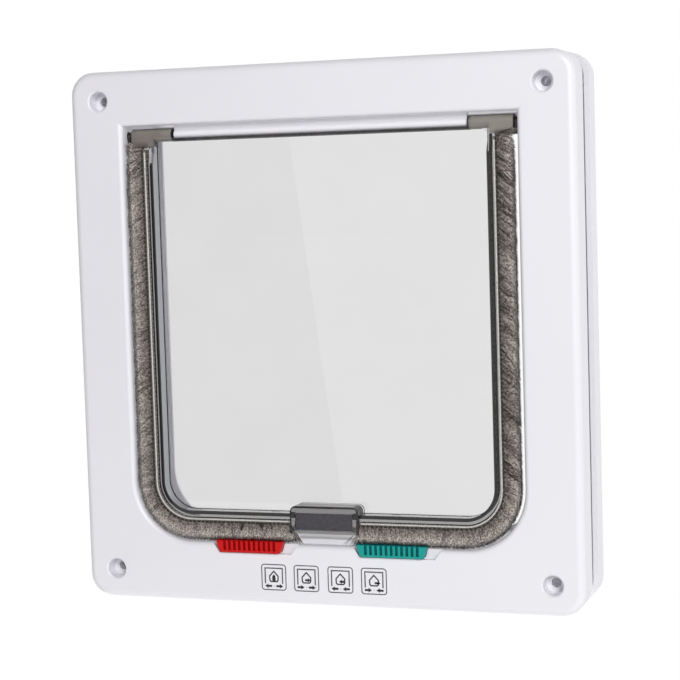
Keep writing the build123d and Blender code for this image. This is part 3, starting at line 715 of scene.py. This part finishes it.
class Print:
    """Collects flat strokes and shapes, in millimetres round a centre, and prints them on the face in two
    inks."""

    def __init__(self, name, x, z):
        self.name = name
        self.centre = (x, z)
        self.shapes = []

    def shape(self, outline, ink=0):
        self.shapes.append((outline, ink))

    def stroke(self, path, width, closed=False, ink=1):
        """A line of even width with mitred corners."""
        path = [Vector(p) for p in path]
        count = len(path)
        left, right = [], []
        for i, point in enumerate(path):
            before = path[i - 1] if closed or i else None
            after = path[(i + 1) % count] if closed or i < count - 1 else None
            spans = ((before, point), (point, after))
            along = [end - start for start, end in spans if start is not None and end is not None]
            normals = [Vector((-v.y, v.x)).normalized() for v in along]
            mitre = sum(normals, Vector((0, 0))).normalized()
            reach = width / 2 / max(0.4, mitre.dot(normals[0]))
            left.append(point + mitre * reach)
            right.append(point - mitre * reach)
        for i in range(count if closed else count - 1):
            n = (i + 1) % count
            self.shape([left[i], left[n], right[n], right[i]], ink)

    def arrow(self, x, z, reach, way, width, bar):
        """A short solid arrow that points left (-1) or right (1)."""
        tip, tail, neck = x + way * reach / 2, x - way * reach / 2, x + way * reach * 0.02
        self.shape([(tail, z - bar), (neck, z - bar), (neck, z + bar), (tail, z + bar)])
        self.shape([(neck, z - width), (tip, z), (neck, z + width)])

    def press(self):
        """Makes the thin raised ink as one closed mesh per shape."""
        work = bmesh.new()
        for outline, ink in self.shapes:
            rings = []
            for y in (face_y - INK_RISE, face_y + INK_SUNK):
                place = [(self.centre[0] + p[0] * MM, y, self.centre[1] + p[1] * MM) for p in outline]
                rings.append([work.verts.new(p) for p in place])
            top, base = rings
            sides = [work.faces.new(top), work.faces.new(base[::-1])]
            for i in range(len(top)):
                n = (i + 1) % len(top)
                sides.append(work.faces.new((top[i], base[i], base[n], top[n])))
            for side in sides:
                side.material_index = ink
        bmesh.ops.recalc_face_normals(work, faces=work.faces)
        mesh = bpy.data.meshes.new(self.name)
        work.to_mesh(mesh)
        work.free()
        add_piece(self.name, mesh, INKS, "frame")


INKS = [print_ink("print_ink", 0.006, 0.015), print_ink("print_ink_grey", 0.03, 0.13)]
SIGN_HEIGHT = 12.6 * MM
SIGN_PLACES = (-25.5 * MM, -9.5 * MM, 7.0 * MM, 23.1 * MM)

# Sizes within a sign, in millimetres from its centre
SIGN_HALF = 5.9
SIGN_CORNER = 1.3
SIGN_LINE = 0.46
ARCH_HALF = 4.25
ARCH_TOP = 4.2
ARCH_FOOT = -3.0
ARCH_LINE = 0.58
HOUSE_LINE = 0.6
ARROW_X = 2.75
ARROW_Z = -4.15
ARROW_REACH = 3.4
ARROW_WIDTH = 1.05
ARROW_BAR = 0.48
HOUSE_ARROW_X = 0.7
LEAVING_ARROW_X = 1.7
HOUSE_ARROW_Z = -0.8
HOUSE_ARROW_REACH = 2.7
HOUSE_ARROW_WIDTH = 1.0
HOUSE_ARROW_BAR = 0.5
DOT = [(-0.2, -4.3), (0.2, -4.3), (0.2, -4.0), (-0.2, -4.0)]
DOOR = [(-0.8, -1.75), (0.8, -1.75), (0.8, 0.2), (0.4, 0.95), (0.0, 1.2), (-0.4, 0.95), (-0.8, 0.2)]
HOUSE = [(0.0, 2.75), (2.1, 0.5), (2.0, -1.45), (1.5, -2.05), (-1.5, -2.05), (-2.0, -1.45), (-2.1, 0.5)]


def rounded_square(half, radius, steps=5):
    outline = []
    for k, (sx, sz) in enumerate(((1, 1), (-1, 1), (-1, -1), (1, -1))):
        for i in range(steps + 1):
            turn = math.pi / 2 * (k + i / steps)
            outline.append((
                sx * (half - radius) + radius * math.cos(turn),
                sz * (half - radius) + radius * math.sin(turn),
            ))
    return outline


def make_signs():
    """Four plain signs, each a house in an arch with two arrows below. The first house has a door, the others
    have an arrow."""
    ways = ((-1, 1), (1, 1), (-1, -1), (1, -1))
    arch = [(-ARCH_HALF, ARCH_FOOT), (-ARCH_HALF, ARCH_TOP), (ARCH_HALF, ARCH_TOP), (ARCH_HALF, ARCH_FOOT)]
    for number, (place, (left_way, right_way)) in enumerate(zip(SIGN_PLACES, ways), start=1):
        sign = Print(f"lock_sign_{number}", place, SIGN_HEIGHT)
        sign.stroke(rounded_square(SIGN_HALF, SIGN_CORNER), SIGN_LINE, closed=True)
        sign.stroke(arch, ARCH_LINE)
        sign.stroke(HOUSE, HOUSE_LINE, closed=True, ink=0)
        sign.arrow(-ARROW_X, ARROW_Z, ARROW_REACH, left_way, ARROW_WIDTH, ARROW_BAR)
        sign.arrow(ARROW_X, ARROW_Z, ARROW_REACH, right_way, ARROW_WIDTH, ARROW_BAR)
        sign.shape(DOT, ink=1)
        if number == 1:
            sign.shape(DOOR)
        else:
            x = LEAVING_ARROW_X if number == 4 else HOUSE_ARROW_X
            way = -1 if number == 3 else 1
            sign.arrow(x, HOUSE_ARROW_Z, HOUSE_ARROW_REACH, way, HOUSE_ARROW_WIDTH, HOUSE_ARROW_BAR)
        sign.press()


# Stage, light and camera

CAMERA_AZIMUTH = 19.08
CAMERA_ELEVATION = 4.75
CAMERA_ROLL = -1.77
CAMERA_DISTANCE = 0.8417
CAMERA_LENS_MM = 98.83
CAMERA_TARGET = Vector((10.38 * MM, face_y, 122.54 * MM))


def make_camera():
    azimuth, elevation, roll = (math.radians(a) for a in (CAMERA_AZIMUTH, CAMERA_ELEVATION, CAMERA_ROLL))
    back = Vector((
        math.sin(azimuth) * math.cos(elevation),
        -math.cos(azimuth) * math.cos(elevation),
        math.sin(elevation),
    ))
    level = (-back).cross(Vector((0, 0, 1))).normalized()
    upright = level.cross(-back)
    right = level * math.cos(roll) + upright * math.sin(roll)
    up = upright * math.cos(roll) - level * math.sin(roll)
    camera = bpy.data.objects.new("camera", bpy.data.cameras.new("camera"))
    bpy.context.scene.collection.objects.link(camera)
    camera.data.sensor_width = 36.0
    camera.data.lens = CAMERA_LENS_MM
    camera.data.clip_start = 0.01
    turn = Matrix((right, up, back)).transposed().to_4x4()
    camera.matrix_world = Matrix.Translation(CAMERA_TARGET + back * CAMERA_DISTANCE) @ turn
    bpy.context.scene.camera = camera


def add_area(name, place, target, size, power):
    data = bpy.data.lights.new(name, "AREA")
    data.shape = "RECTANGLE"
    data.size, data.size_y = size
    data.energy = power
    lamp = bpy.data.objects.new(name, data)
    bpy.context.scene.collection.objects.link(lamp)
    lamp.location = place
    lamp.rotation_mode = "QUATERNION"
    lamp.rotation_quaternion = (Vector(target) - Vector(place)).to_track_quat("-Z", "Y")
    lamp.visible_camera = False
    return lamp


def add_stage(name, corners, material):
    """A flat piece of the set, which isn't part of the object."""
    sheet = bpy.data.objects.new(name, mesh_from(name, corners, [tuple(range(len(corners)))]))
    sheet.data.materials.append(material)
    bpy.context.scene.collection.objects.link(sheet)
    return sheet


def studio_floor():
    """Floor that glows white, so that it meets the white room without a line."""
    glow = {"Emission_Color": (1.0, 1.0, 1.0, 1.0), "Emission_Strength": FLOOR_GLOW}
    s = Shader("studio_floor").set(Roughness=0.9, Specular_IOR_Level=0.0, **glow)
    s.link(s.ramp(s.noise(3.0), (0.3, (0.01, 0.01, 0.01)), (0.7, (0.02, 0.02, 0.02))), "Base Color")
    return s.material


def grey_card():
    s = Shader("grey_card").set(Roughness=0.9)
    s.link(s.ramp(s.noise(6.0), (0.3, (0.17, 0.06, 0.14)), (0.7, (0.19, 0.08, 0.16))), "Base Color")
    return s.material


def flag_cloth():
    """Matt black cloth of the flags round the set."""
    s = Shader("flag_cloth").set(Roughness=1.0, Specular_IOR_Level=0.0)
    s.link(s.ramp(s.noise(6.0), (0.3, (0.075, 0.075, 0.08)), (0.7, (0.09, 0.09, 0.095))), "Base Color")
    return s.material


def bounce_cloth():
    """Pale cloth on the floor that throws soft light up."""
    glow = {"Emission_Color": (1.0, 1.0, 1.0, 1.0), "Emission_Strength": BOUNCE_GLOW}
    s = Shader("bounce_cloth").set(Roughness=1.0, Specular_IOR_Level=0.0, **glow)
    s.link(s.ramp(s.noise(6.0), (0.3, (0.09, 0.09, 0.09)), (0.7, (0.11, 0.11, 0.11))), "Base Color")
    return s.material


FLOOR_HALF = 6.0
FLOOR_GLOW = 0.99
BOUNCE_GLOW = 0.75
FLAG_X = (-0.6, 2.2)
FLAG_Y = (-2.6, 0.9)
FLAG_Z = (0.002, 2.4)
CARD_Y = face_y - 0.24
CARD_LEFT = -0.55
CARD_TOP = (-0.1055, 0.2168)
CARD_FOOT = (-0.0791, 0.0007)
CARD_STRETCH = 2.0
KEY_PLACE = (1.25, -2.0, 1.1)
KEY_TARGET = (0, 0, mid_z)
KEY_SIZE = (1.1, 1.1)
KEY_WATTS = 48.0
REAR_PLACE = (0.08, 0.35, 0.2)
REAR_TARGET = (-0.09, 0.01, mid_z)
REAR_SIZE = (0.16, 0.3)
REAR_WATTS = 0.4


def add_flags():
    """Black flags on the left, the right, above and in front, which shade the set from the white room, and a
    pale cloth below. They count only for diffuse light: the room still shows in gloss and through the panel."""
    (x0, x1), (y0, y1), (z0, z1) = FLAG_X, FLAG_Y, FLAG_Z
    cloth = flag_cloth()
    sheets = {
        "flag_left": [(x0, y0, z0), (x0, y1, z0), (x0, y1, z1), (x0, y0, z1)],
        "flag_right": [(x1, y0, z0), (x1, y1, z0), (x1, y1, z1), (x1, y0, z1)],
        "flag_above": [(x0, y0, z1), (x1, y0, z1), (x1, y1, z1), (x0, y1, z1)],
        "flag_front": [(x0, y0, z0), (x1, y0, z0), (x1, y0, z1), (x0, y0, z1)],
        "bounce": [(x0, y0, z0), (x1, y0, z0), (x1, y1, z0), (x0, y1, z0)],
    }
    for name, corners in sheets.items():
        sheet = add_stage(name, corners, bounce_cloth() if name == "bounce" else cloth)
        sheet.visible_camera = False
        sheet.visible_glossy = False
        sheet.visible_transmission = False


def make_stage():
    """White room with a lit floor, flags, a soft key from the right, a weak light behind the opening, and a
    card that the panel reflects."""
    scene = bpy.context.scene
    world = bpy.data.worlds.new("studio")
    world.use_nodes = True
    world.node_tree.nodes["Background"].inputs[0].default_value = (1.0, 1.0, 1.0, 1.0)
    world.node_tree.nodes["Background"].inputs[1].default_value = 1.0
    scene.world = world
    scene.view_settings.view_transform = "Standard"
    half = FLOOR_HALF
    floor = [(-half, -half, 0), (half, -half, 0), (half, half, 0), (-half, half, 0)]
    add_stage("floor", floor, studio_floor())
    (foot_x, foot_z), (top_x, top_z) = CARD_FOOT, CARD_TOP
    far_x = foot_x + CARD_STRETCH * (top_x - foot_x)
    far_z = foot_z + CARD_STRETCH * (top_z - foot_z)
    corners = ((CARD_LEFT, foot_z), (foot_x, foot_z), (far_x, far_z), (CARD_LEFT, far_z))
    card = add_stage("card", [(x, CARD_Y, z) for x, z in corners], grey_card())
    card.visible_camera = False
    card.visible_diffuse = False
    card.visible_transmission = False
    card.visible_shadow = False
    add_flags()
    add_area("key", KEY_PLACE, KEY_TARGET, KEY_SIZE, KEY_WATTS)
    rear = add_area("rear", REAR_PLACE, REAR_TARGET, REAR_SIZE, REAR_WATTS)
    rear.visible_transmission = False
    rear.visible_glossy = False


dress_nodes()
make_strip("left", -1, seed=11)
make_strip("right", 1, seed=29)
make_signs()
make_stage()
make_camera()
